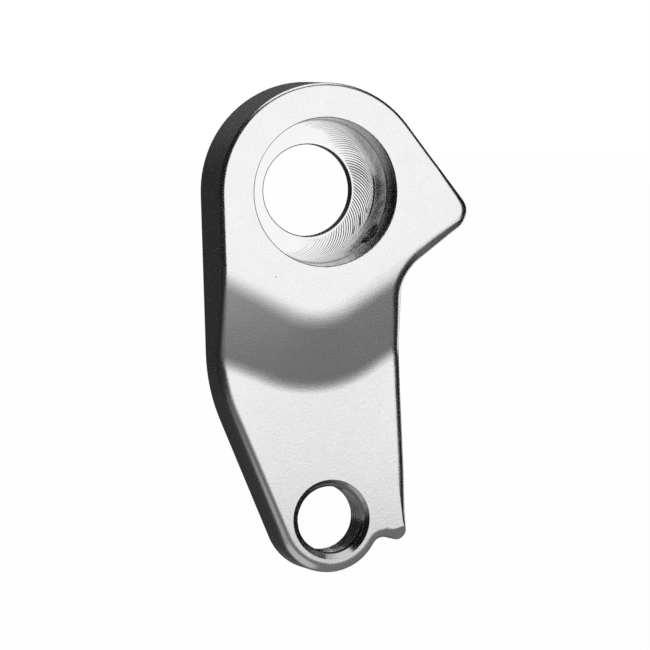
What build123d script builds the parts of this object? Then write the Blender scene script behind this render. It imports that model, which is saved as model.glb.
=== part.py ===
import os
from math import atan2, cos, degrees, radians, sin, sqrt, tan
from build123d import *

os.makedirs("parts", exist_ok=True)

# All sizes are in millimetres.
# The axle axis is +Y, and its zero is the recess floor that the hub's end cap stands on.
# -Y is the side that faces the wheel, +X is the rear of the bicycle and +Z is up.

# head, the thick round end that sits on the wheel axle
head_thickness = 10.0
lip_thickness = 1.6
seat_radius = 9.6
seat_ledge = 0.12
lead_in_flare = 0.33
lead_in_depth = 3.45
head_rim = 4.71
axle_radius = 6.25
hole_edge_break = 0.15
lead_in_radius = seat_radius + seat_ledge + lead_in_flare
head_radius = lead_in_radius + head_rim

# arm, the thinner lower part that carries the gear changer
arm_thickness = 6.5
rear_side_offset = 10.32
rear_side_lean = 2.9
front_side_lean = 1.84
heel_lean = 23.2
knee_radius = 25.0

# ear, the corner that locks the part in the frame's pocket
ear_angle = 37.65
ear_length = 15.66
ear_corner = 91.5
ear_tip_radius = 2.5
neck_radius = 6.7

# threaded eye for the gear changer's bolt, M10 x 1, and the heel round it
eye_across = 1.92
eye_drop = 44.65
eye_radius = 4.46
eye_mouth_cone = 0.99
eye_exit_cone = 0.74
heel_rim = 2.99
heel_shift_across = -0.17
heel_shift_up = 0.15
heel_radius = eye_radius + heel_rim

# stop tab beside the lower eye, and the notch between the two
tab_slope = 13.7
tab_below_heel = 0.85
tab_corner_radius = 1.2
notch_radius = 1.6
bevel_slope = 16.2
bevel_below_eye = 3.96
bevel_start = 6.0
bevel_pitch = 30.0

# ramp that drops from the head's face to the arm's face
ramp_across = -1.2
ramp_below_recess = 7.35
ramp_radius = 7.55
ramp_run = 9.3
ramp_front_slope = 25.1
ramp_rear_slope = 32.4
ramp_top_blend = 6.0
ramp_foot_blend = 5.0

# tapped cross hole for the retaining screw, M4
screw_radius = 1.65
screw_angle = -38.1
screw_depth = 4.15

# rounded edges
face_edge_radius = 0.45
arm_edge_radius = 1.3
outer_edge_radius = 0.3
run_out_angle = 16.0

# levels along the axle, measured from the recess floor towards the wheel
head_level = head_thickness - lip_thickness
arm_level = arm_thickness - lip_thickness
reach = eye_drop + heel_radius + head_radius
margin = 1.0


def towards(angle, distance=1.0):
    """A point at a distance from the axle, in a direction in degrees."""
    return Vector(distance * cos(radians(angle)), distance * sin(radians(angle)))


def corner(angle_a, offset_a, angle_b, offset_b):
    """The corner of two straight sides, each known by where it faces and its distance from the axle."""
    spread = sin(radians(angle_b - angle_a))
    across = offset_a * sin(radians(angle_b)) - offset_b * sin(radians(angle_a))
    up = offset_b * cos(radians(angle_a)) - offset_a * cos(radians(angle_b))
    return Vector(across / spread, up / spread)


# directions that the straight sides of the outline face
front_side = 180 + front_side_lean
heel_side = 180 + heel_lean
tab_side = -90 - tab_slope
ear_side = ear_angle - ear_corner

# corners and centres of the outline
axle_centre = Vector(0, 0)
eye_centre = Vector(eye_across, -eye_drop)
heel_centre = eye_centre + Vector(heel_shift_across, heel_shift_up)
heel_offset = heel_centre.dot(towards(heel_side)) + heel_radius
tab_offset = heel_centre.dot(towards(tab_side)) + tab_below_heel
ear_corner_point = towards(ear_angle, head_radius) + towards(ear_angle - 90, ear_length)
ear_offset = ear_corner_point.dot(towards(ear_side))
neck_point = corner(ear_side, ear_offset, rear_side_lean, rear_side_offset)
tab_point = corner(tab_side, tab_offset, rear_side_lean, rear_side_offset)
knee_point = corner(front_side, head_radius, heel_side, heel_offset)

# notch arc that touches both the heel's round and the tab's lower side
notch_out = tab_below_heel + notch_radius
notch_along = sqrt((heel_radius + notch_radius) ** 2 - notch_out**2)
notch_centre = heel_centre + towards(tab_side, notch_out) + towards(tab_side + 90, notch_along)
notch_angle = tab_side + 90 - degrees(atan2(notch_out, notch_along))
heel_sweep = 360 + notch_angle - heel_side
notch_sweep = tab_side + 180 - (notch_angle + 180)
notch_end = notch_centre - towards(tab_side, notch_radius)

# path of the larger round on the arm's edge, which leaves the outline at both ends
round_start = knee_point - towards(heel_side + 90, knee_radius)
leave_angle = notch_angle + 180 + notch_sweep - run_out_angle
round_leave = notch_centre + towards(leave_angle, notch_radius)
round_end = round_leave + towards(leave_angle - 90, heel_radius)

# ramp: its section is drawn in a plane through the middle of its arc, across the axle line
ramp_centre = (ramp_across, 0, ramp_radius - lead_in_radius - ramp_below_recess)
front_way = towards(-90 - ramp_front_slope)
rear_way = towards(-90 + ramp_rear_slope)
ramp_turn = ramp_front_slope + ramp_rear_slope
front_plane = Plane(ramp_centre, x_dir=(front_way.X, 0, front_way.Y), z_dir=(front_way.Y, 0, -front_way.X))
rear_plane = Plane(ramp_centre, x_dir=(rear_way.X, 0, rear_way.Y), z_dir=(rear_way.Y, 0, -rear_way.X))
ramp_pitch = atan2(head_level - arm_level, ramp_run)
top_reach = ramp_top_blend * tan(ramp_pitch / 2)
foot_reach = ramp_foot_blend * tan(ramp_pitch / 2)
top_point = (ramp_radius + top_reach * cos(ramp_pitch), head_level - top_reach * sin(ramp_pitch))
foot_point = (
    ramp_radius + ramp_run - foot_reach * cos(ramp_pitch),
    arm_level + foot_reach * sin(ramp_pitch),
)

# bevel on the stop tab: its section is drawn across the bevel's upper line
bevel_way = towards(-90 + bevel_slope)
bevel_line = towards(bevel_slope)
bevel_start_point = eye_centre + bevel_way * bevel_below_eye + bevel_line * bevel_start
bevel_reach = 3 * tab_corner_radius + bevel_start
bevel_plane = Plane(
    origin=(bevel_start_point.X, -arm_level, bevel_start_point.Y),
    x_dir=(bevel_way.X, 0, bevel_way.Y),
    z_dir=(bevel_line.X, 0, bevel_line.Y),
)

# a face counts as a wall, or as facing the wheel or the frame, by how far its normal leans along the axle
wall_lean = 0.1
face_lean = 0.5

with BuildPart() as hanger:
    # plain block, as thick as the head
    with BuildSketch(Plane.XZ.offset(-lip_thickness)):
        Rectangle(2 * reach, 2 * reach)
    extrude(amount=head_thickness)

    # ramp: one section turned about the middle of the arc and carried on straight at both ends
    with BuildSketch(front_plane) as ramp_section:
        with BuildLine():
            Polyline(
                (ramp_radius - top_reach, head_level),
                (ramp_radius - top_reach, head_level + margin),
                (2 * reach, head_level + margin),
                (2 * reach, arm_level),
                (ramp_radius + ramp_run + foot_reach, arm_level),
            )
            RadiusArc((ramp_radius + ramp_run + foot_reach, arm_level), foot_point, ramp_foot_blend)
            Line(foot_point, top_point)
            RadiusArc(top_point, (ramp_radius - top_reach, head_level), -ramp_top_blend)
        make_face()
    extrude(amount=2 * reach, mode=Mode.SUBTRACT)
    ramp_axis = Axis(ramp_centre, (0, -1, 0))
    revolve(ramp_section.sketch, axis=ramp_axis, revolution_arc=ramp_turn, mode=Mode.SUBTRACT)
    with BuildSketch(rear_plane):
        add(ramp_section.sketch_local)
    extrude(amount=-2 * reach, mode=Mode.SUBTRACT)

    # outline of the whole part
    with BuildSketch(Plane.XZ.offset(-lip_thickness)) as outline:
        with BuildLine():
            CenterArc(axle_centre, head_radius, ear_angle, front_side - ear_angle)
            Line(towards(front_side, head_radius), knee_point)
            Line(knee_point, heel_centre + towards(heel_side, heel_radius))
            CenterArc(heel_centre, heel_radius, heel_side, heel_sweep)
            CenterArc(notch_centre, notch_radius, notch_angle + 180, notch_sweep)
            Line(notch_end, tab_point)
            Line(tab_point, neck_point)
            Line(neck_point, ear_corner_point)
            Line(ear_corner_point, towards(ear_angle, head_radius))
        make_face()
        fillet(outline.vertices().sort_by_distance(ear_corner_point)[0], radius=ear_tip_radius)
        fillet(outline.vertices().sort_by_distance(neck_point)[0], radius=neck_radius)
        fillet(outline.vertices().sort_by_distance(tab_point)[0], radius=tab_corner_radius)
        fillet(outline.vertices().sort_by_distance(knee_point)[0], radius=knee_radius)
    extrude(amount=head_thickness, mode=Mode.INTERSECT)

    # rounded edges: one size all round the wheel side, a smaller one round the outer side
    wall_edges = hanger.faces().filter_by(lambda face: abs(face.normal_at().Y) < wall_lean).edges()
    wheel_edges = hanger.faces().filter_by(lambda face: face.normal_at().Y < -face_lean).edges()
    outer_edges = hanger.faces().filter_by(lambda face: face.normal_at().Y > face_lean).edges()
    fillet(ShapeList(e for e in wall_edges if e in wheel_edges), radius=face_edge_radius)
    fillet(outer_edges, radius=outer_edge_radius)

    # bevel across the end of the stop tab
    with BuildSketch(bevel_plane):
        with BuildLine():
            Polyline(
                (-margin, -margin * tan(radians(bevel_pitch))),
                (bevel_reach, bevel_reach * tan(radians(bevel_pitch))),
                (bevel_reach, -margin),
                (-margin, -margin),
                (-margin, -margin * tan(radians(bevel_pitch))),
            )
        make_face()
    extrude(amount=bevel_reach, mode=Mode.SUBTRACT)

    # larger round on the arm's edge, from under the knee round the heel to the notch
    with BuildLine() as arm_edge:
        Line(round_start, heel_centre + towards(heel_side, heel_radius))
        CenterArc(heel_centre, heel_radius, heel_side, heel_sweep)
        CenterArc(notch_centre, notch_radius, notch_angle + 180, notch_sweep - run_out_angle)
        Line(round_leave, round_end)
    edge_path = Plane.XZ.offset(arm_level) * arm_edge.wire()
    heel_way = towards(heel_side)
    with BuildSketch(Plane(edge_path @ 0, x_dir=(heel_way.X, 0, heel_way.Y), z_dir=edge_path % 0)):
        with BuildLine():
            Polyline(
                (0, arm_edge_radius),
                (arm_edge_radius / 2, arm_edge_radius),
                (arm_edge_radius / 2, -arm_edge_radius / 2),
                (-arm_edge_radius, -arm_edge_radius / 2),
                (-arm_edge_radius, 0),
            )
            RadiusArc((-arm_edge_radius, 0), (0, arm_edge_radius), -arm_edge_radius)
        make_face()
    sweep(path=edge_path, mode=Mode.SUBTRACT)

    # stepped hole on the axle: lead-in cone, seat for the hub's end cap, then the axle's own hole
    with BuildSketch(Plane.XY):
        with BuildLine():
            Polyline(
                (0, -head_level - margin),
                (lead_in_radius, -head_level - margin),
                (lead_in_radius, -head_level),
                (seat_radius + seat_ledge, -head_level + lead_in_depth),
                (seat_radius, -head_level + lead_in_depth),
                (seat_radius, 0),
                (axle_radius, 0),
                (axle_radius, lip_thickness + margin),
                (0, lip_thickness + margin),
                (0, -head_level - margin),
            )
        make_face()
    revolve(axis=Axis.Y, mode=Mode.SUBTRACT)
    rings = hanger.edges().filter_by(GeomType.CIRCLE)
    mouth_ring = rings.filter_by(lambda ring: abs(ring.radius - lead_in_radius) < hole_edge_break / 10)
    axle_rings = rings.filter_by(lambda ring: abs(ring.radius - axle_radius) < hole_edge_break / 10)
    fillet(mouth_ring + axle_rings, radius=hole_edge_break)

    # eye for the gear changer's bolt, with a cone at each end of its thread
    with BuildSketch(Plane((eye_across, 0, -eye_drop))):
        with BuildLine():
            Polyline(
                (0, -arm_level - margin),
                (eye_radius + eye_mouth_cone, -arm_level - margin),
                (eye_radius + eye_mouth_cone, -arm_level),
                (eye_radius, -arm_level + eye_mouth_cone),
                (eye_radius, lip_thickness - eye_exit_cone),
                (eye_radius + eye_exit_cone, lip_thickness),
                (eye_radius + eye_exit_cone, lip_thickness + margin),
                (0, lip_thickness + margin),
                (0, -arm_level - margin),
            )
        make_face()
    revolve(axis=Axis((eye_across, 0, -eye_drop), (0, 1, 0)), mode=Mode.SUBTRACT)

    # tapped hole for the retaining screw, from the seat out through the neck
    screw_way = towards(screw_angle)
    with BuildSketch(Plane((0, screw_depth - head_level, 0), z_dir=(screw_way.X, 0, screw_way.Y))):
        Circle(screw_radius)
    extrude(amount=head_radius + ear_length, mode=Mode.SUBTRACT)
    hanger.part.label = "hanger"

export_step(hanger.part, "parts/hanger.step")
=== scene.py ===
import math

import bpy
import numpy as np
from mathutils import Euler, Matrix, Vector
from mathutils.kdtree import KDTree


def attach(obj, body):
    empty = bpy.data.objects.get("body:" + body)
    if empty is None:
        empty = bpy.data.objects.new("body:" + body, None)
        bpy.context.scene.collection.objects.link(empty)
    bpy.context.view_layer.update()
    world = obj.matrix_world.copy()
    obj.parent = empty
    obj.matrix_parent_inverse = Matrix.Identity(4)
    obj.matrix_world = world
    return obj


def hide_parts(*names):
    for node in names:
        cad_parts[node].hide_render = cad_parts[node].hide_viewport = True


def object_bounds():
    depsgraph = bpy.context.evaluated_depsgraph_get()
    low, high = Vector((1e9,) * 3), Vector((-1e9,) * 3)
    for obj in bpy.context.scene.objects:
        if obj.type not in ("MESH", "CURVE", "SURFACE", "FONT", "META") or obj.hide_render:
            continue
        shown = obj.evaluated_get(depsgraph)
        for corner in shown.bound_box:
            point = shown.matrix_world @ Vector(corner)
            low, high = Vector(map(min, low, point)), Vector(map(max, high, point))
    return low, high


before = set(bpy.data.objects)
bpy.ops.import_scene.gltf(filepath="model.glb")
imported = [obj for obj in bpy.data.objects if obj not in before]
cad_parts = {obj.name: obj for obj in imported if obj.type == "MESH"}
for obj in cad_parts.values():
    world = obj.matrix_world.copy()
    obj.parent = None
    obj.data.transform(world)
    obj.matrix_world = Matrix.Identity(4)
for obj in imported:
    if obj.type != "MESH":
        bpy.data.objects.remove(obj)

cad_box = [list(corner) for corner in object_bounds()]

# Sizes are in millimetres and angles in degrees. A length becomes metres when a mesh or a node gets it.
# The axle axis is +Y, with its zero on the recess floor. -Y is the side that faces the camera, +Z is up.
MM = 0.001
FULL_TURN = 2 * math.pi

# head, as in the CAD
HEAD_FACE = -8.4
ARM_FACE = -4.9
OUTER_FACE = 1.6
AXLE_RADIUS = 6.25
AXLE_EDGE = 0.15
SEAT_RADIUS = 9.6
LEAD_IN_RADIUS = 10.05
HEAD_RIM = 4.71
HEAD_RADIUS = LEAD_IN_RADIUS + HEAD_RIM
FACE_EDGE = 0.45
OUTER_EDGE = 0.3

# lower eye, M10 x 1: the CAD has its cones and a bore at the crests, and the turns are only here
EYE = (1.92, -44.65)
EYE_CREST = 4.46
EYE_MAJOR = 5.0
EYE_PITCH = 1.0
MOUTH_CONE = 0.99
EXIT_CONE = 0.74

# cross hole, M4: the CAD has a bore at the crests, and the turns are only here
SCREW_ANGLE = -38.1
SCREW_DEPTH = 4.15
SCREW_CREST = 1.65
SCREW_MAJOR = 2.0
SCREW_PITCH = 0.7
SCREW_RUN_IN = 0.2       # its thread has its full depth from this far inside each end

# ramp, as in the CAD
RAMP_CENTRE = (-1.2, -9.85)
RAMP_RADIUS = 7.55
RAMP_RUN = 9.3
RAMP_FRONT_SLOPE = 25.1
RAMP_REAR_SLOPE = 32.4
RAMP_TOP_BLEND = 6.0
RAMP_FOOT_BLEND = 5.0

# ramp as worn in by finishing: its ends are softer than the CAD's, and it spreads towards the front side
SOFT_TOP_BLEND = 9.5
SOFT_FOOT_BLEND = 6.5
TOP_SHIFT = -0.25
FOOT_SHIFT = -0.15
TOP_SPREAD = 0.045       # per millimetre towards the front side
FOOT_SPREAD = 0.075
SHIFT_DEPTH = 0.6        # the ramp's whole shift reaches this far below the face, and fades over the next
SHIFT_FADE = 1.0

# round of the wheel-side edge, worn larger than the CAD's: height, reach across the face, reach down the side
FRONT_ROUND = ((-40.0, 1.42, 2.90), (-31.0, 1.45, 2.60), (-27.0, 1.32, 2.10), (-23.5, 1.20, 1.40),
               (-20.0, 0.85, 0.85), (-9.0, 0.66, 0.66), (8.0, 0.60, 0.60), (12.0, 0.56, 0.56),
               (15.0, 0.54, 0.54))
REAR_ROUND = ((-45.6, 0.60, 0.60), (-44.0, 1.20, 1.20), (-38.0, 1.00, 1.00), (-30.0, 0.95, 0.95),
              (-24.0, 0.95, 0.95), (-18.0, 1.15, 1.15), (-13.0, 1.50, 1.50), (-6.0, 1.50, 1.50),
              (-3.0, 1.10, 1.10), (-1.0, 0.75, 0.75), (3.0, 0.52, 0.52), (15.0, 0.54, 0.54))
HEEL_ROUND = 1.4         # at the heel's bottom both reaches are this
HEEL_RISE = 5.0          # and they start towards it this far above the front side's lowest row
HEEL_TURN = 0.9          # they reach it as the side turns from facing the front by this share to facing down

# how far the rear side stands out past the CAD's, so that its larger round keeps the photograph's outline
REAR_PUSH = ((-46.5, 0.0), (-44.0, 0.18), (-38.0, 0.24), (-28.0, 0.24), (-20.0, 0.36), (-9.0, 0.36),
             (-5.0, 0.22), (-1.0, 0.10), (5.0, 0.0))
PUSH_START = 1.0         # the push is whole this far down the side
PUSH_DEPTH = 9.0         # and fades to nothing over the next
PUSH_EASE = 0.3          # it is whole where the side faces the rear by at least this share

# cutter marks on the recess floor
MARKS = 98
MARK_HEIGHT = 0.052
MARK_RISE = 0.42         # share of a pass on its steep side
MARK_UNEVEN = (0.55, 1.0)
MARK_SEED = 7
MARK_STRONGEST = 98.0    # the way from the axle in which they are highest, clockwise from the top
MARK_WEAKEST = 0.15      # share of their height that is left on the opposite side
MARK_GATHER = 3          # the power with which they gather on the strong side
MARK_START = 0.25        # they have their height from this far outside the bore's edge
MARK_END = 0.7           # up to this far from the wall
CUTTER_RADIUS = 4.25

# how fine the meshes are
OUTLINE_STEP = 0.25
RAMP_STEP = 0.6
EDGE_STEP = 0.24         # across the edge, where its round is made
EDGE_RUN = 1.2           # and along it
SPLIT_PASSES = 9
MARK_STEPS = 12
MARK_ROWS = 16
THREAD_COLUMNS = 240
THREAD_ROWS = 20         # per turn
SCREW_COLUMNS = 96
SCREW_ROWS = 12          # per turn
JOIN_MARGIN = 0.03       # width of the strips that join the new surfaces to the CAD's
BATCH = 4000             # points that are measured against the outline at a time

# small amounts
TOUCH = 0.0005           # how near a point has to lie to a surface to belong to it
WELD = 0.0002            # points this close together are one
SLACK = 0.01             # what the worn surface's tests allow, and half the run its slopes are read over
TINY = 1e-9              # keeps a division from failing

# finishes, in the order of the piece's materials
FACE, TURNED_PAINTED_SHADE, MILLED, THREAD = range(4)


# Mesh tools

class Shell:
    """Points, faces and their corner normals, gathered from the CAD's triangles and from grids."""

    def __init__(self):
        self.points = np.zeros((0, 3))
        self.faces = []
        self.normals = []
        self.finishes = []

    def add_points(self, points):
        first = len(self.points)
        self.points = np.vstack([self.points, points])
        return np.arange(first, first + len(points))

    def add_faces(self, faces, normals, finish):
        self.faces.extend(tuple(int(i) for i in face) for face in faces)
        self.normals.extend(tuple(normal) for face in normals for normal in face)
        self.finishes.extend([finish] * len(faces))

    def add_flat(self, triangles, outward, finish):
        """Triangles with their own flat normals, wound so that they face the way that outward says."""
        corners = self.points[np.array(triangles)]
        flat = np.cross(corners[:, 1] - corners[:, 0], corners[:, 2] - corners[:, 0])
        if (flat * outward(corners.mean(axis=1))).sum() < 0:
            triangles = [triangle[::-1] for triangle in triangles]
            flat = -flat
        size = np.linalg.norm(flat, axis=1, keepdims=True)
        flat = flat / np.where(size > 0, size, 1)
        self.add_faces(triangles, np.repeat(flat[:, None], 3, axis=1), finish)

    def add_grid(self, grid, outward, finish):
        """A grid of rows x columns points, closed round its columns. Returns the ids, row by row."""
        rows, columns = grid.shape[:2]
        points = grid.reshape(-1, 3)
        across = np.roll(grid, -1, axis=1) - np.roll(grid, 1, axis=1)
        normals = np.cross(np.gradient(grid, axis=0), across)
        normals /= np.linalg.norm(normals, axis=2, keepdims=True)
        normals = normals.reshape(-1, 3)
        if (normals * outward(points)).sum() < 0:
            normals = -normals
        own = np.arange(rows * columns).reshape(rows, columns)
        a, b = own[:-1], own[1:]
        quads = np.stack([a, b, np.roll(b, -1, 1), np.roll(a, -1, 1)], axis=-1).reshape(-1, 4)
        sample = quads[len(quads) // 2]
        first, second, third = points[sample[:3]]
        if np.cross(second - first, third - first) @ normals[sample[0]] < 0:
            quads = quads[:, ::-1]
        ids = self.add_points(points)
        self.add_faces(ids[quads], normals[quads], finish)
        return ids.reshape(rows, columns)

    def zip_rings(self, ring_a, angles_a, ring_b, angles_b, outward, finish):
        """Joins two rings of points, each sorted by angle, with one strip of triangles."""
        count_a, count_b = len(ring_a), len(ring_b)
        triangles, i, j = [], 0, 0
        while i < count_a or j < count_b:
            next_a = angles_a[(i + 1) % count_a] + (FULL_TURN if i + 1 >= count_a else 0)
            next_b = angles_b[(j + 1) % count_b] + (FULL_TURN if j + 1 >= count_b else 0)
            here_a, here_b = ring_a[i % count_a], ring_b[j % count_b]
            if j >= count_b or (i < count_a and next_a <= next_b):
                triangles.append((here_a, ring_a[(i + 1) % count_a], here_b))
                i += 1
            else:
                triangles.append((here_a, ring_b[(j + 1) % count_b], here_b))
                j += 1
        self.add_flat(triangles, outward, finish)

    def build(self, name, materials):
        """The mesh object, in metres."""
        used = np.zeros(len(self.points), dtype=bool)
        used[[i for face in self.faces for i in face]] = True
        new_id = np.cumsum(used) - 1
        faces = [[int(new_id[i]) for i in face] for face in self.faces]
        mesh = bpy.data.meshes.new(name)
        mesh.from_pydata((self.points[used] * MM).tolist(), [], faces)
        mesh.polygons.foreach_set("material_index", self.finishes)
        mesh.polygons.foreach_set("use_smooth", [True] * len(faces))
        mesh.normals_split_custom_set(self.normals)
        for material in materials:
            mesh.materials.append(material)
        piece = bpy.data.objects.new(name, mesh)
        bpy.context.scene.collection.objects.link(piece)
        return piece


def read_node(node):
    """Welded points, triangles and corner normals of a CAD node, in millimetres."""
    mesh = node.data
    points = np.empty(len(mesh.vertices) * 3)
    mesh.vertices.foreach_get("co", points)
    points = points.reshape(-1, 3) / MM
    triangles = np.empty(len(mesh.polygons) * 3, dtype=int)
    mesh.polygons.foreach_get("vertices", triangles)
    normals = np.array([tuple(corner.vector) for corner in mesh.corner_normals]).reshape(-1, 3, 3)
    tree = KDTree(len(points))
    for index, point in enumerate(points):
        tree.insert(point, index)
    tree.balance()
    same = np.array([min(index for _, index, _ in tree.find_range(point, WELD)) for point in points])
    return points, same[triangles.reshape(-1, 3)], normals


def edges_of(triangles):
    """Each triangle's three edges, with the lower point first."""
    edges = np.vstack([triangles[:, [0, 1]], triangles[:, [1, 2]], triangles[:, [2, 0]]])
    return np.sort(edges, axis=1)


def walk(edges, start):
    """The points of one closed line of edges, in their order along it."""
    beside = {}
    for a, b in edges.tolist():
        beside.setdefault(a, []).append(b)
        beside.setdefault(b, []).append(a)
    ring, last = [start], None
    while True:
        onward = [i for i in beside[ring[-1]] if i != last][0]
        if onward == start or len(ring) > len(beside):
            return np.array(ring)
        last = ring[-1]
        ring.append(onward)


def open_ring(points, triangles, belongs, axis):
    """The open edge's points that pass a test, in their order along it, with rising angles about an axis."""
    edges, counts = np.unique(edges_of(triangles), axis=0, return_counts=True)
    edges = edges[counts == 1]
    edges = edges[belongs(points[edges[:, 0]]) & belongs(points[edges[:, 1]])]
    ids = np.unique(edges)
    ring = walk(edges, ids[np.argmin(axis.angle(points[ids]))])
    angles = np.unwrap(axis.angle(points[ring]))
    if angles[-1] < angles[0]:
        ring = np.roll(ring[::-1], 1)
        angles = np.unwrap(axis.angle(points[ring]))
    return ring, np.maximum.accumulate(angles)


class RoundAxis:
    """The axis of a round hole, and points by their angle about it, distance from it and height along it."""

    def __init__(self, origin, axis, start):
        self.origin, self.axis, self.start = (np.array(v, dtype=float) for v in (origin, axis, start))
        self.side = np.cross(self.axis, self.start)

    def angle(self, points):
        return np.arctan2((points - self.origin) @ self.side, (points - self.origin) @ self.start) % FULL_TURN

    def radius(self, points):
        return np.hypot((points - self.origin) @ self.side, (points - self.origin) @ self.start)

    def height(self, points):
        return (points - self.origin) @ self.axis

    def place(self, angle, radius, height):
        angle, radius, height = (v[..., None] for v in np.broadcast_arrays(angle, radius, height))
        way = np.cos(angle) * self.start + np.sin(angle) * self.side
        return self.origin + radius * way + height * self.axis

    def inward(self, points):
        return self.height(points)[..., None] * self.axis - (points - self.origin)

    def circle(self, radius, height):
        """A test of points: do they lie on this circle?"""
        def belongs(points):
            return (np.abs(self.radius(points) - radius) < TOUCH) & (
                np.abs(self.height(points) - height) < TOUCH)
        return belongs


def spread(count):
    """Even angles round a full turn."""
    return np.arange(count) * FULL_TURN / count


def towards(angle):
    """Unit direction in the X-Z plane, from an angle at +X."""
    return np.array([math.cos(math.radians(angle)), math.sin(math.radians(angle))])


def to_wheel(points):
    """The way that the recess floor faces, for each point."""
    return np.broadcast_to(np.array([0.0, -1.0, 0.0]), points.shape)


# Wear: the CAD's surface with a softer ramp and a larger round on its wheel-side edge

FRONT_WAY = towards(-90 - RAMP_FRONT_SLOPE)
REAR_WAY = towards(-90 + RAMP_REAR_SLOPE)


def face_depth(flat, soft):
    """Y of the wheel-side face at X-Z points, as in the CAD or with the softer ramp."""
    from_centre = flat - np.array(RAMP_CENTRE)
    ahead = from_centre @ np.array([FRONT_WAY[1], -FRONT_WAY[0]])
    behind = from_centre @ np.array([-REAR_WAY[1], REAR_WAY[0]])
    out = np.where(ahead > 0, from_centre @ FRONT_WAY, np.where(
        behind > 0, from_centre @ REAR_WAY, np.linalg.norm(from_centre, axis=-1)))
    top, foot = np.full(out.shape, RAMP_RADIUS), np.full(out.shape, RAMP_RADIUS + RAMP_RUN)
    top_blend, foot_blend = RAMP_TOP_BLEND, RAMP_FOOT_BLEND
    if soft:
        side = np.maximum(ahead, 0)
        top += TOP_SHIFT - TOP_SPREAD * side
        foot += FOOT_SHIFT + FOOT_SPREAD * side
        top_blend, foot_blend = SOFT_TOP_BLEND, SOFT_FOOT_BLEND
    pitch = np.arctan2(ARM_FACE - HEAD_FACE, foot - top)
    top_reach, foot_reach = top_blend * np.tan(pitch / 2), foot_blend * np.tan(pitch / 2)
    past_top = np.clip(out - top + top_reach, 0, None)
    before_foot = np.clip(foot + foot_reach - out, 0, None)
    depth = HEAD_FACE + (out - top) * np.tan(pitch)
    top_arc = HEAD_FACE + top_blend - np.sqrt(np.clip(top_blend ** 2 - past_top ** 2, 0, None))
    foot_arc = ARM_FACE - foot_blend + np.sqrt(np.clip(foot_blend ** 2 - before_foot ** 2, 0, None))
    depth = np.where(past_top < top_reach * (1 + np.cos(pitch)), top_arc, depth)
    return np.where(before_foot < foot_reach * (1 + np.cos(pitch)), foot_arc, depth)


def face_shift(flat):
    """How far the softer ramp lies from the CAD's, along Y."""
    return face_depth(flat, True) - face_depth(flat, False)


class Outline:
    """The part's outline, read off where its side wall meets the outer face's round."""

    def __init__(self, points, triangles):
        edges = np.unique(edges_of(triangles), axis=0)
        level = np.abs(points[:, 1] - (OUTER_FACE - OUTER_EDGE)) < TOUCH
        edges = edges[level[edges].all(axis=1)]
        corners = points[walk(edges, edges[0, 0])][:, [0, 2]]
        onward = np.roll(corners, -1, axis=0)
        if (corners[:, 0] * onward[:, 1] - corners[:, 1] * onward[:, 0]).sum() < 0:
            corners, onward = corners[::-1], np.roll(corners[::-1], -1, axis=0)
        lengths = np.linalg.norm(onward - corners, axis=1)
        counts = np.maximum(1, np.ceil(lengths / OUTLINE_STEP).astype(int))
        self.line = np.vstack([
            a + (b - a) * (np.arange(n) / n)[:, None] for a, b, n in zip(corners, onward, counts)])
        along = np.roll(self.line, -1, axis=0) - np.roll(self.line, 1, axis=0)
        ways = np.stack([along[:, 1], -along[:, 0]], axis=1)
        self.ways = ways / np.linalg.norm(ways, axis=1, keepdims=True)

    def gap(self, flat):
        """How far X-Z points lie inside the outline, and the way that the nearest side faces."""
        inside, way = np.empty(len(flat)), np.empty((len(flat), 2))
        for first in range(0, len(flat), BATCH):
            batch = slice(first, first + BATCH)
            inside[batch], way[batch] = self.gap_of_batch(flat[batch])
        return inside, way / np.linalg.norm(way, axis=1, keepdims=True)

    def gap_of_batch(self, flat):
        """The same for a few points, from the two sides that meet at the line's nearest point."""
        square = (flat ** 2).sum(axis=1)[:, None] + (self.line ** 2).sum(axis=1) - 2 * flat @ self.line.T
        nearest = np.argmin(square, axis=1)
        inside, way = self.gap_to_side(flat, nearest - 1)
        other_inside, other_way = self.gap_to_side(flat, nearest)
        closer = np.abs(other_inside) < np.abs(inside)
        return np.where(closer, other_inside, inside), np.where(closer[:, None], other_way, way)

    def gap_to_side(self, flat, side):
        """The same, each point to the straight side that starts at a given point of the line."""
        a, b = side % len(self.line), (side + 1) % len(self.line)
        run = self.line[b] - self.line[a]
        share = ((flat - self.line[a]) * run).sum(axis=1) / (run ** 2).sum(axis=1)
        share = np.clip(share, 0, 1)[:, None]
        off = self.line[a] + run * share - flat
        way = self.ways[a] * (1 - share) + self.ways[b] * share
        return np.linalg.norm(off, axis=1) * np.where((off * way).sum(axis=1) < 0, -1, 1), way


def reaches(height, way):
    """The edge's reach across the face and down the side, by height and by the way the side faces."""
    front, rear = np.array(FRONT_ROUND).T, np.array(REAR_ROUND).T
    under_tab = height < rear[0][0]
    near_heel = height < front[0][0] + HEEL_RISE
    down = np.clip(1 + way[:, 0] / HEEL_TURN, 0, 1)
    found = []
    for k in (1, 2):
        on_front = np.interp(height, front[0], front[k])
        on_front = np.where(near_heel, on_front + (HEEL_ROUND - on_front) * down, on_front)
        on_rear = np.interp(height, rear[0], rear[k])
        reach = np.where((way[:, 0] < 0) | under_tab, on_front, on_rear)
        found.append(np.where(under_tab & (way[:, 0] > 0), 0, reach))
    return found


def rear_push(height, way, below):
    """How far the side is pushed out, by height, by the way it faces and by its depth below the face."""
    heights, pushes = np.array(REAR_PUSH).T
    push = np.interp(height, heights, pushes) * np.clip(way[:, 0] / PUSH_EASE, 0, 1)
    return push * np.clip(1 - (below - PUSH_START) / PUSH_DEPTH, 0, 1)


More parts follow.
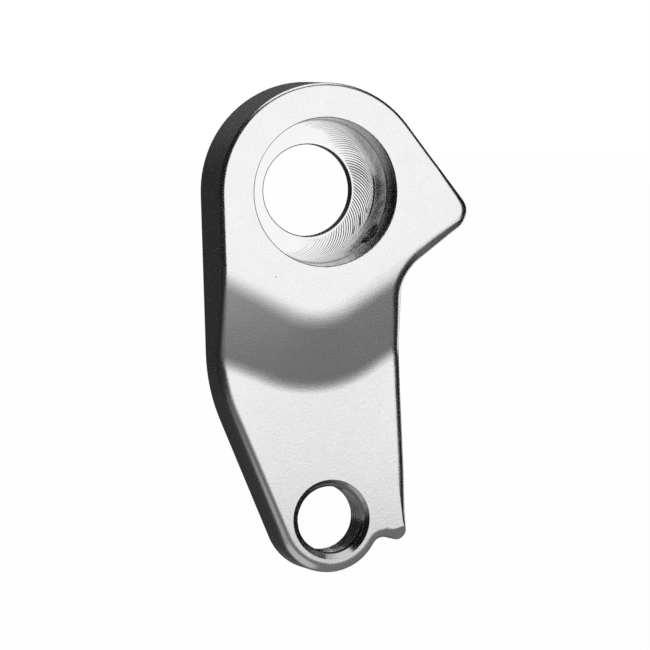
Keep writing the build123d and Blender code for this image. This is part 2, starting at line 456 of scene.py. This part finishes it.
# By the number of split edges, the parts of a split triangle. 0, 1 and 2 are its corners, and 3, 4 and 5 the
# middles of the edges that start at them.
SPLITS = {
    0: ((0, 1, 2),),
    1: ((0, 3, 2), (3, 1, 2)),
    2: ((3, 1, 4), (0, 3, 4), (0, 4, 2)),
    3: ((0, 3, 5), (3, 1, 4), (5, 4, 2), (3, 4, 5)),
}


def refine(points, triangles, normals, too_long):
    """Halves each edge that too_long(points, edges) picks, a few times over, with no open seams."""
    for _ in range(SPLIT_PASSES):
        edges = np.sort(np.stack([triangles, np.roll(triangles, -1, axis=1)], axis=-1), axis=-1)
        edges, back = np.unique(edges.reshape(-1, 2), axis=0, return_inverse=True)
        split = too_long(points, edges)
        if not split.any():
            break
        middle = np.where(split, len(points) + np.cumsum(split) - 1, -1)[back.reshape(-1)].reshape(-1, 3)
        points = np.vstack([points, points[edges[split]].mean(axis=1)])
        halves = normals + np.roll(normals, -1, axis=1)
        halves /= np.maximum(np.linalg.norm(halves, axis=2, keepdims=True), TINY)
        count = (middle >= 0).sum(axis=1)
        only = np.argmax(middle >= 0, axis=1)
        after_whole = (np.argmin(middle >= 0, axis=1) + 1) % 3
        first = np.where(count == 1, only, np.where(count == 2, after_whole, 0))
        order = (first[:, None] + np.arange(3)) % 3
        ids = np.hstack([np.take_along_axis(group, order, 1) for group in (triangles, middle)])
        vectors = np.hstack([np.take_along_axis(group, order[..., None], 1) for group in (normals, halves)])
        parts = [(count == k, list(part)) for k, group in SPLITS.items() for part in group]
        triangles = np.vstack([ids[chosen][:, part] for chosen, part in parts])
        normals = np.vstack([vectors[chosen][:, part] for chosen, part in parts])
    return points, triangles, normals


def split_test(outline):
    """The test of refine for a surface that can take the softer ramp and the larger round."""
    ramp_clearance, least_shift, edge_margin = 0.3, 0.002, 0.05

    def on_ramp(points):
        flat = points[:, [0, 2]]
        clear = np.hypot(points[:, 0], points[:, 2]) > LEAD_IN_RADIUS + ramp_clearance
        near_face = points[:, 1] - face_depth(flat, False) < SHIFT_DEPTH
        return clear & near_face & (np.abs(face_shift(flat)) > least_shift)

    def too_long(points, edges):
        run = points[edges[:, 1]] - points[edges[:, 0]]
        length = np.linalg.norm(run, axis=1)
        on_any_end = on_ramp(points)[edges].any(axis=1)
        ramp_edge = on_any_end | on_ramp(points[edges].mean(axis=1))
        flat = points[:, [0, 2]]
        below = points[:, 1] - face_depth(flat, False)
        inside, way = outline.gap(flat)
        across, down = reaches(points[:, 2], way)
        near_edge = (across > 0) & (inside < across + edge_margin) & (below < down + edge_margin)
        way = way[np.where(near_edge[edges[:, 0]], edges[:, 0], edges[:, 1])]
        along = np.abs(run[:, 0] * way[:, 1] - run[:, 2] * way[:, 0])
        beside = np.sqrt(np.maximum(length ** 2 - along ** 2, 0))
        return (ramp_edge & (length > RAMP_STEP)) | (
            near_edge[edges].any(axis=1) & ((beside > EDGE_STEP) | (along > EDGE_RUN)))

    return too_long


def face_normals(flat):
    """The softer face's unit normals at X-Z points, from its slopes there."""
    slope_x, slope_z = (
        (face_depth(flat + nudge, True) - face_depth(flat - nudge, True)) / (2 * SLACK)
        for nudge in (np.array([SLACK, 0]), np.array([0, SLACK])))
    normals = np.stack([slope_x, -np.ones(len(flat)), slope_z], axis=1)
    return normals / np.linalg.norm(normals, axis=1, keepdims=True)


def soften(points, triangles, normals):
    """Gives the ramp its soft ends and the wheel-side edge its worn round, on a finer mesh.

    Returns the finer mesh's points where the CAD has them and where they end up, its triangles and normals.
    """
    outline = Outline(points, triangles)
    points, triangles, normals = refine(points, triangles, normals, split_test(outline))

    # the ramp moves along Y only
    flat = points[:, [0, 2]]
    shift = face_shift(flat)
    clear = np.hypot(points[:, 0], points[:, 2]) > LEAD_IN_RADIUS
    below = points[:, 1] - face_depth(flat, False)
    moved = points.copy()
    moved[:, 1] += shift * np.where(clear, np.clip(1 - (below - SHIFT_DEPTH) / SHIFT_FADE, 0, 1), 0)

    # the edge's points move onto a quarter of an ellipse, towards where its middle is
    inside, way = outline.gap(flat)
    below = moved[:, 1] - face_depth(flat, True)
    across, down = reaches(points[:, 2], way)
    rounded = (across > 0) & (inside < across) & (below < down) & (inside > -SLACK) & (below > -SLACK)
    wide, deep = np.where(rounded, across, 1), np.where(rounded, down, 1)
    size = np.hypot((wide - inside) / wide, (deep - below) / deep)
    rounded &= size > 1
    size = np.where(rounded, size, 1)
    new_inside = np.where(rounded, wide - (wide - inside) / size, inside)
    new_below = deep - (deep - below) / size

    # the rear side stands out, and the round stretches to meet it
    push = rear_push(points[:, 2], way, below) * (across > 0)
    stretch = 1 + push / wide
    push *= np.clip(1 - new_inside / np.where(across > 0, across, 1), 0, 1)
    new_flat = flat + way * (push + inside - new_inside)[:, None]
    new_flat[:, 0] = np.clip(new_flat[:, 0], points[:, 0].min(), points[:, 0].max())
    moved[:, [0, 2]] = new_flat
    moved[:, 1] = np.where(rounded, face_depth(new_flat, True) + new_below, moved[:, 1])

    # normals of the new surfaces, wherever a corner moved
    face_normal = face_normals(new_flat)
    side_normal = np.stack([way[:, 0], np.zeros(len(way)), way[:, 1]], axis=1)
    round_normal = (side_normal * ((wide - new_inside) / (wide ** 2 * stretch))[:, None]
                    + face_normal * ((deep - new_below) / deep ** 2)[:, None])
    round_normal /= np.maximum(np.linalg.norm(round_normal, axis=1, keepdims=True), TINY)
    least_shift = 1e-5
    on_face = clear & (np.abs(moved[:, 1] - face_depth(new_flat, True)) < SLACK)
    on_face &= (inside > across - SLACK) & (inside > FACE_EDGE - SLACK) & (np.abs(shift) > least_shift)
    fresh = np.where(rounded[:, None], round_normal, face_normal)
    changed = rounded | on_face
    return points, moved, triangles, np.where(changed[triangles][..., None], fresh[triangles], normals)


# Sub-parts that replace some of the CAD's surface. Each gets the shell, and the points and triangles whose
# open edge it joins.

AXLE_AXIS = RoundAxis((0, 0, 0), (0, 1, 0), (0, 0, 1))
EYE_AXIS = RoundAxis((EYE[0], 0, EYE[1]), (0, 1, 0), (0, 0, 1))
SCREW_WAY = towards(SCREW_ANGLE)
SCREW_AXIS = RoundAxis((0, HEAD_FACE + SCREW_DEPTH, 0), (SCREW_WAY[0], 0, SCREW_WAY[1]), (0, -1, 0))


def thread_groove(turn):
    """Depth of a 60 degree thread's groove, from 0 at the crest to 1 at the root, by place in the turn."""
    crest, root, softness = 0.25, 0.125, 0.35
    turn = turn % 1.0
    flank = (1 - crest - root) / 2
    rise = np.clip((turn - crest) / flank, 0, 1)
    fall = np.clip((1 - turn) / flank, 0, 1)
    groove = np.minimum(rise, fall)
    return groove * groove * (3 - 2 * groove) * softness + groove * (1 - softness)


def recess_floor(shell, points, triangles):
    """The milled floor: one raised line for each pass of the cutter, on a ring from the bore to the wall."""
    path_radius = SEAT_RADIUS - CUTTER_RADIUS
    inner, outer = AXLE_RADIUS + AXLE_EDGE + JOIN_MARGIN, SEAT_RADIUS - JOIN_MARGIN
    radii = np.linspace(inner, outer, MARK_ROWS + 1)
    turn = np.arccos((radii ** 2 + path_radius ** 2 - CUTTER_RADIUS ** 2) / (2 * radii * path_radius))
    columns = MARKS * MARK_STEPS
    pass_height = np.random.default_rng(MARK_SEED).uniform(*MARK_UNEVEN, MARKS)
    step = np.arange(columns)
    share = step % MARK_STEPS / MARK_STEPS
    wave = np.where(share < MARK_RISE, share / MARK_RISE, (1 - share) / (1 - MARK_RISE))
    profile = wave * pass_height[step // MARK_STEPS]
    fade = np.clip(np.minimum((radii - inner) / MARK_START, (outer - radii) / MARK_END), 0, 1)
    angles = spread(columns) - turn[:, None]
    nearness = 0.5 + 0.5 * np.cos(angles - math.radians(MARK_STRONGEST))
    strength = MARK_WEAKEST + (1 - MARK_WEAKEST) * nearness ** MARK_GATHER
    heights = -MARK_HEIGHT * fade[:, None] * profile * strength
    ids = shell.add_grid(AXLE_AXIS.place(angles, radii[:, None], heights), to_wheel, MILLED)
    for row, radius in ((0, AXLE_RADIUS + AXLE_EDGE), (-1, SEAT_RADIUS)):
        ring, ring_angles = open_ring(points, triangles, AXLE_AXIS.circle(radius, 0), AXLE_AXIS)
        own_angles = AXLE_AXIS.angle(shell.points[ids[row]])
        order = np.argsort(own_angles)
        shell.zip_rings(ring, ring_angles, ids[row][order], own_angles[order], to_wheel, MILLED)


def lower_eye(shell, points, triangles):
    """The threaded eye: its cones and its thread are one surface, the wider of the two at each place."""
    rows = int((OUTER_FACE - ARM_FACE) / EYE_PITCH * THREAD_ROWS)
    heights = np.linspace(ARM_FACE + JOIN_MARGIN, OUTER_FACE - JOIN_MARGIN, rows + 1)[:, None]
    angles = spread(THREAD_COLUMNS)
    mouth, far_end = ARM_FACE + MOUTH_CONE - heights, heights - OUTER_FACE + EXIT_CONE
    cone = EYE_CREST + np.maximum(np.maximum(mouth, far_end), 0)
    thread = EYE_CREST + (EYE_MAJOR - EYE_CREST) * thread_groove(heights / EYE_PITCH - angles / FULL_TURN)
    ids = shell.add_grid(EYE_AXIS.place(angles, np.maximum(cone, thread), heights), EYE_AXIS.inward, THREAD)
    for row, cone_depth, height in ((0, MOUTH_CONE, ARM_FACE), (-1, EXIT_CONE, OUTER_FACE)):
        on_rim = EYE_AXIS.circle(EYE_CREST + cone_depth, height)
        ring, ring_angles = open_ring(points, triangles, on_rim, EYE_AXIS)
        shell.zip_rings(ring, ring_angles, ids[row], angles, EYE_AXIS.inward, THREAD)


def cross_hole(shell, points, worn_points, triangles):
    """The retaining screw's hole: its two ends follow the recess wall and the head's round side."""
    middle = (LEAD_IN_RADIUS + HEAD_RADIUS) / 2

    def at_end(inner_end):
        def belongs(p):
            height = SCREW_AXIS.height(p)
            on_wall = np.abs(SCREW_AXIS.radius(p) - SCREW_CREST) < TOUCH
            return on_wall & ((height < middle) == inner_end) & (height > 0)
        return belongs

    ends = [open_ring(points, triangles, at_end(inner_end), SCREW_AXIS) for inner_end in (True, False)]
    angles = spread(SCREW_COLUMNS)
    start, stop = (
        np.interp(angles, ring_angles, SCREW_AXIS.height(worn_points[ring]), period=FULL_TURN)
        for ring, ring_angles in ends)
    rows = int((stop - start).max() / SCREW_PITCH * SCREW_ROWS)
    start, stop = start + JOIN_MARGIN, stop - JOIN_MARGIN
    heights = start + (stop - start) * np.linspace(0, 1, rows + 1)[:, None]
    run_in = np.clip(np.minimum(heights - start, stop - heights) / SCREW_RUN_IN, 0, 1)
    groove = thread_groove(heights / SCREW_PITCH - angles / FULL_TURN) * run_in
    radii = SCREW_CREST + (SCREW_MAJOR - SCREW_CREST) * groove
    ids = shell.add_grid(SCREW_AXIS.place(angles, radii, heights), SCREW_AXIS.inward, THREAD)
    for row, (ring, ring_angles) in zip((0, -1), ends):
        shell.zip_rings(ring, ring_angles, ids[row], angles, SCREW_AXIS.inward, THREAD)


def hanger_shell():
    """The whole surface: the CAD's, worn in, with a new recess floor and new threads in both tapped holes."""
    points, worn_points, triangles, normals = soften(*read_node(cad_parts["hanger"]))
    corner = points[triangles]
    in_eye = (EYE_AXIS.radius(corner) < EYE_CREST + MOUTH_CONE + TOUCH).all(axis=1)
    on_floor = (np.abs(corner[..., 1]) < TOUCH) & (AXLE_AXIS.radius(corner) < SEAT_RADIUS + TOUCH)
    on_screw = (np.abs(SCREW_AXIS.radius(corner) - SCREW_CREST) < TOUCH) & (SCREW_AXIS.height(corner) > 0)
    in_recess = (AXLE_AXIS.radius(corner) < LEAD_IN_RADIUS + TOUCH) & (corner[..., 1] > HEAD_FACE - TOUCH)
    kept = ~(in_eye | on_floor.all(axis=1) | on_screw.all(axis=1))
    in_recess = in_recess.all(axis=1)

    shell = Shell()
    shell.add_points(worn_points)
    for chosen, finish in ((kept & ~in_recess, FACE), (kept & in_recess, TURNED_PAINTED_SHADE)):
        shell.add_faces(triangles[chosen], normals[chosen], finish)
    recess_floor(shell, points, triangles[kept])
    lower_eye(shell, points, triangles[kept])
    cross_hole(shell, points, worn_points, triangles[kept])
    return shell


# Materials

NOISE_RANGE = (0.3, 0.7)     # most of a noise texture's values lie between these
GRAIN_DARKER = 0.025
GRAIN_LIGHTER = 0.015
CLOUD_DARKEST = 0.975
PIT_CELLS_PER_MM = 0.85
PIT_RADIUS = 0.10
PIT_BOTTOM = 0.4             # share of the radius that is flat
PIT_SHARE = 0.06             # share of the cells that have a pit
PIT_TONE = 0.35
PIT_DEPTH = 0.02
ROUGHNESS_SPREAD = 0.015
RINGS_PER_MM = 14.0          # turning marks on the recess wall
GROOVE_PAINTED_SHADE = 0.3            # painted shade in the lower eye's grooves, against the face's colour
GROOVE_EDGE = (0.04, 0.3)    # from which to which depth the painted shade darkens them
MOUTH_PAINTED_SHADE = 0.75            # painted shade on its mouth cone
EYE_REACH = 6.0              # radius round the lower eye inside which the painted shade is laid


def add_node(tree, kind, settings=None, **inputs):
    """A shader node. An input is a number, a colour or the socket that feeds it; _ stands for a space."""
    node = tree.nodes.new(kind)
    for key, value in (settings or {}).items():
        setattr(node, key, value)
    for key, value in inputs.items():
        by_number = key[0] == "i" and key[1:].isdigit()
        socket = node.inputs[int(key[1:])] if by_number else node.inputs[key.replace("_", " ")]
        if isinstance(value, bpy.types.NodeSocket):
            tree.links.new(value, socket)
        else:
            socket.default_value = value
    return node


def new_material(name):
    material = bpy.data.materials.new(name)
    material.use_nodes = True
    tree = material.node_tree
    tree.nodes.clear()
    output = tree.nodes.new("ShaderNodeOutputMaterial")
    return material, tree, output


def millimetres(tree):
    """The point on the object, in millimetres."""
    place = add_node(tree, "ShaderNodeTexCoord").outputs["Object"]
    scaled = add_node(tree, "ShaderNodeVectorMath", {"operation": "SCALE"}, Vector=place, Scale=1 / MM)
    return scaled.outputs[0]


def grey(value):
    return (value, value, value, 1.0)


def ramp(tree, factor, low, high, from_low=0.0, from_high=1.0):
    """A value that goes from low to high while the factor goes through its own range."""
    node = add_node(tree, "ShaderNodeMapRange", None, Value=factor)
    for key, value in (("From Min", from_low), ("From Max", from_high), ("To Min", low), ("To Max", high)):
        node.inputs[key].default_value = value
    return node.outputs["Result"]


def noise(tree, place, per_mm, detail, roughness):
    node = add_node(
        tree, "ShaderNodeTexNoise", None, Vector=place, Scale=per_mm, Detail=detail, Roughness=roughness)
    return node.outputs["Fac"]


def math_node(tree, operation, a, b=0.0):
    return add_node(tree, "ShaderNodeMath", {"operation": operation}, i0=a, i1=b).outputs[0]


def pits(tree, place):
    """1 in the middle of a few small round pits, 0 elsewhere."""
    cell = add_node(tree, "ShaderNodeTexVoronoi", None, Vector=place, Scale=PIT_CELLS_PER_MM).outputs
    chance = add_node(tree, "ShaderNodeSeparateColor", None, Color=cell["Color"]).outputs[0]
    chosen = math_node(tree, "LESS_THAN", chance, PIT_SHARE)
    rim = PIT_RADIUS * PIT_CELLS_PER_MM
    near = ramp(tree, cell["Distance"], 1.0, 0.0, rim * PIT_BOTTOM, rim)
    return math_node(tree, "MULTIPLY", chosen, near)


def bump(tree, height, depth, normal=None, sunk=False):
    """Relief of a depth in millimetres, over the normal that is given."""
    under = {} if normal is None else {"Normal": normal}
    node = add_node(
        tree, "ShaderNodeBump", {"invert": sunk}, Height=height, Distance=depth * MM, Strength=1.0, **under)
    return node.outputs["Normal"]


def eye_painted_shade(tree, place):
    """Painted shade: less than 1 in the lower eye's grooves and on its mouth cone, 1 elsewhere."""
    axes = add_node(tree, "ShaderNodeSeparateXYZ", None, Vector=place).outputs
    across = math_node(tree, "SUBTRACT", axes["X"], EYE[0])
    upward = math_node(tree, "SUBTRACT", axes["Z"], EYE[1])
    across_square = math_node(tree, "MULTIPLY", across, across)
    upward_square = math_node(tree, "MULTIPLY", upward, upward)
    radius = math_node(tree, "SQRT", math_node(tree, "ADD", across_square, upward_square))
    groove = ramp(tree, radius, 1.0, GROOVE_PAINTED_SHADE, *(EYE_CREST + depth for depth in GROOVE_EDGE))
    in_mouth = math_node(tree, "LESS_THAN", axes["Y"], ARM_FACE + MOUTH_CONE)
    past_mouth = math_node(tree, "SUBTRACT", 1.0, in_mouth)
    in_eye = math_node(tree, "MAXIMUM", math_node(tree, "MULTIPLY", in_mouth, MOUTH_PAINTED_SHADE),
                       math_node(tree, "MULTIPLY", groove, past_mouth))
    outside = math_node(tree, "GREATER_THAN", radius, EYE_REACH)
    return math_node(tree, "MAXIMUM", in_eye, outside)


def satin_aluminium(name, tone=0.98, roughness=0.265, peel=0.010, turning=0.0, in_eye=False):
    """Tumbled and clear anodised aluminium: even and bright, with an orange peel, specks and a few pits; with
    in_eye, painted shade round the lower eye.
    """
    material, tree, output = new_material(name)
    place = millimetres(tree)
    grain = noise(tree, place, per_mm=7.0, detail=2.0, roughness=0.6)
    cloud = noise(tree, place, per_mm=0.35, detail=3.0, roughness=0.55)
    pit = pits(tree, place)
    shade = ramp(tree, grain, tone - GRAIN_DARKER, tone + GRAIN_LIGHTER, *NOISE_RANGE)
    shade = math_node(tree, "MULTIPLY", shade, ramp(tree, cloud, CLOUD_DARKEST, 1.0, *NOISE_RANGE))
    shade = math_node(tree, "MULTIPLY", shade, ramp(tree, pit, 1.0, PIT_TONE))
    # painted shade in the lower eye's grooves and on its mouth cone
    if in_eye:
        shade = math_node(tree, "MULTIPLY", shade, eye_painted_shade(tree, place))
    colour = add_node(tree, "ShaderNodeCombineColor", None, Red=shade, Green=shade, Blue=shade).outputs[0]
    worn = noise(tree, place, per_mm=2.2, detail=3.0, roughness=0.6)
    rough = ramp(tree, worn, roughness - ROUGHNESS_SPREAD, roughness + ROUGHNESS_SPREAD, *NOISE_RANGE)
    peel_height = noise(tree, place, per_mm=3.2, detail=2.0, roughness=0.5)
    relief = bump(tree, peel_height, peel)
    relief = bump(tree, pit, PIT_DEPTH, relief, sunk=True)
    if turning:
        depth = add_node(tree, "ShaderNodeSeparateXYZ", None, Vector=place).outputs["Y"]
        rings = add_node(
            tree, "ShaderNodeTexNoise", {"noise_dimensions": "1D"}, W=depth, Scale=RINGS_PER_MM, Detail=3.0)
        relief = bump(tree, rings.outputs["Fac"], turning, relief)
    shader = add_node(tree, "ShaderNodeBsdfPrincipled", None, Metallic=1.0, Roughness=rough, Normal=relief)
    shader.inputs["Base Color"].default_value = grey(tone)
    tree.links.new(colour, shader.inputs["Base Color"])
    tree.links.new(shader.outputs[0], output.inputs["Surface"])
    return material


materials = [
    satin_aluminium("satin_face"),
    # painted shade: the recess wall's low tone draws it darker than the face, as shade inside the recess
    satin_aluminium("turned_wall_painted_shade", tone=0.40, roughness=0.15, peel=0.003, turning=0.004),
    satin_aluminium("milled_floor", tone=0.945, roughness=0.09, peel=0.002),
    # in_eye paints shade into the lower eye's grooves and onto its mouth cone
    satin_aluminium("cut_thread_painted_shade", tone=0.88, roughness=0.18, peel=0.003, in_eye=True),
]

hanger = hanger_shell().build("hanger_body", materials)
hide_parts("hanger")
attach(hanger, "root")


# Studio: a white world and a white floor, with dark cards that stand for the dark room round the window

CARD_MIDDLE = (0.0, -3.0, -18.0)
CARD_DISTANCE = 520.0
CARD_STEP = 6.0
FLOOR_DROP = 15.0
FLOOR_LEVEL = cad_box[0][2] / MM - FLOOR_DROP
FLOOR_HALF = 3000.0
FLOOR_WHITE = 0.88                # share of plain white in what the camera and reflections see of the floor
PAPER_TONE = 0.92
WINDOW_FADE = (-60.0, -250.0)     # along Y, from a board's own tone to white: the window's soft lower limit


def stage_mesh(name, points, faces, material):
    """A mesh of the studio, from points in millimetres."""
    mesh = bpy.data.meshes.new(name)
    mesh.from_pydata([[v * MM for v in point] for point in points], [], faces)
    mesh.materials.append(material)
    piece = bpy.data.objects.new(name, mesh)
    bpy.context.scene.collection.objects.link(piece)
    return piece


def hide_but_reflect(piece):
    piece.visible_camera = piece.visible_diffuse = piece.visible_shadow = False


def glow(name, tone):
    material, tree, output = new_material(name)
    light = add_node(tree, "ShaderNodeEmission", None, Color=grey(tone), Strength=1.0)
    tree.links.new(light.outputs[0], output.inputs["Surface"])
    return material


def fading_glow(name, tone):
    """A glow that rises to white towards the window."""
    material, tree, output = new_material(name)
    depth = add_node(tree, "ShaderNodeSeparateXYZ", None, Vector=millimetres(tree)).outputs["Y"]
    strength = ramp(tree, depth, tone, 1.0, *WINDOW_FADE)
    light = add_node(tree, "ShaderNodeEmission", None, Color=grey(1.0), Strength=strength)
    tree.links.new(light.outputs[0], output.inputs["Surface"])
    return material


def pale_floor():
    """White paper that takes the object's shadow, and mostly plain white to the camera and to reflections."""
    material, tree, output = new_material("pale_floor")
    rays = add_node(tree, "ShaderNodeLightPath").outputs
    seen = math_node(tree, "MAXIMUM", rays["Is Camera Ray"], math_node(
        tree, "MAXIMUM", rays["Is Glossy Ray"], rays["Is Transmission Ray"]))
    paper = add_node(tree, "ShaderNodeBsdfDiffuse", None, Color=grey(PAPER_TONE)).outputs[0]
    white = add_node(tree, "ShaderNodeEmission", None, Color=grey(1.0), Strength=1.0).outputs[0]
    share = math_node(tree, "MULTIPLY", seen, FLOOR_WHITE)
    mixed = add_node(tree, "ShaderNodeMixShader", None, Fac=share, i1=paper, i2=white)
    tree.links.new(mixed.outputs[0], output.inputs["Surface"])
    return material


def card(name, azimuths, elevations, tone):
    """A curved card round the object, which only its reflections show. Azimuth 0 is -Y and 90 is +X."""
    steps = [max(2, int(abs(b - a) / CARD_STEP)) for a, b in (azimuths, elevations)]
    points = []
    for azimuth in np.radians(np.linspace(*azimuths, steps[0] + 1)):
        for elevation in np.radians(np.linspace(*elevations, steps[1] + 1)):
            way = (math.sin(azimuth) * math.cos(elevation), -math.cos(azimuth) * math.cos(elevation),
                   math.sin(elevation))
            points.append([middle + CARD_DISTANCE * share for middle, share in zip(CARD_MIDDLE, way)])
    rows = steps[1] + 1
    quads = [(i * rows + j, (i + 1) * rows + j, (i + 1) * rows + j + 1, i * rows + j + 1)
             for i in range(steps[0]) for j in range(steps[1])]
    hide_but_reflect(stage_mesh(name, points, quads, glow(name, tone)))


def level_sheet(name, across, deep, level, material):
    """A flat rectangle, from its limits along X and Y."""
    places = ((across[0], deep[0]), (across[1], deep[0]), (across[1], deep[1]), (across[0], deep[1]))
    return stage_mesh(name, [(x, y, level) for x, y in places], [(0, 1, 2, 3)], material)


def board(name, across, deep, tone, fades=False, lift=0.5):
    """A flat card just above the floor, which only reflections show."""
    material = fading_glow(name, tone) if fades else glow(name, tone)
    hide_but_reflect(level_sheet(name, across, deep, FLOOR_LEVEL + lift, material))


level_sheet("floor", (-FLOOR_HALF, FLOOR_HALF), (-FLOOR_HALF, FLOOR_HALF), FLOOR_LEVEL, pale_floor())

card("card_left", (-165, -9), (-8, 62), 0.010)
card("card_right", (40, 150), (-8, 62), 0.006)
card("card_back", (150, 195), (-8, 62), 0.07)
card("card_top", (-9, 40), (32, 62), 0.05)

board("board_front", (-30, 90), (-270, 8), 0.145, fades=True)
board("board_left", (-110, -30), (-270, 8), 0.12, fades=True)
board("board_right", (90, 500), (-120, 60), 0.01)
board("board_right_far", (200, 500), (-500, -120), 0.01)
board("board_back", (-110, -4), (8, 500), 0.03)
board("board_back_right", (-4, 95), (8, 500), 0.08)
board("board_back_far", (95, 200), (290, 500), 0.05)
board("board_streak", (-55, -28), (-20, 8), 0.34, lift=0.8)
board("board_heel", (-24, 0), (-16, 8), 0.45, lift=0.8)
board("board_far_left", (-500, -110), (-500, 500), 0.02)

world = bpy.data.worlds.new("studio")
bpy.context.scene.world = world
world.use_nodes = True
background = world.node_tree.nodes["Background"]
background.inputs["Color"].default_value = grey(1.0)
background.inputs["Strength"].default_value = 1.0


# Camera

IMAGE_WIDTH = 650
FOCAL_PIXELS = 5600.0
SENSOR_WIDTH = 36.0
CAMERA_AIM = (-0.123, HEAD_FACE, -17.955)
CAMERA_DISTANCE = 755.98
CAMERA_TURN = 17.4457     # towards -X from straight in front
CAMERA_LIFT = 3.0014      # and upwards

camera_data = bpy.data.cameras.new("camera")
camera_data.sensor_width = SENSOR_WIDTH
camera_data.lens = FOCAL_PIXELS / IMAGE_WIDTH * SENSOR_WIDTH
camera = bpy.data.objects.new("camera", camera_data)
bpy.context.scene.collection.objects.link(camera)
camera.rotation_euler = Euler((math.radians(90 - CAMERA_LIFT), 0, math.radians(-CAMERA_TURN)))
backward = camera.rotation_euler.to_matrix() @ Vector((0, 0, 1))
camera.location = (Vector(CAMERA_AIM) + CAMERA_DISTANCE * backward) * MM
bpy.context.scene.camera = camera

bpy.context.scene.view_settings.view_transform = "Standard"
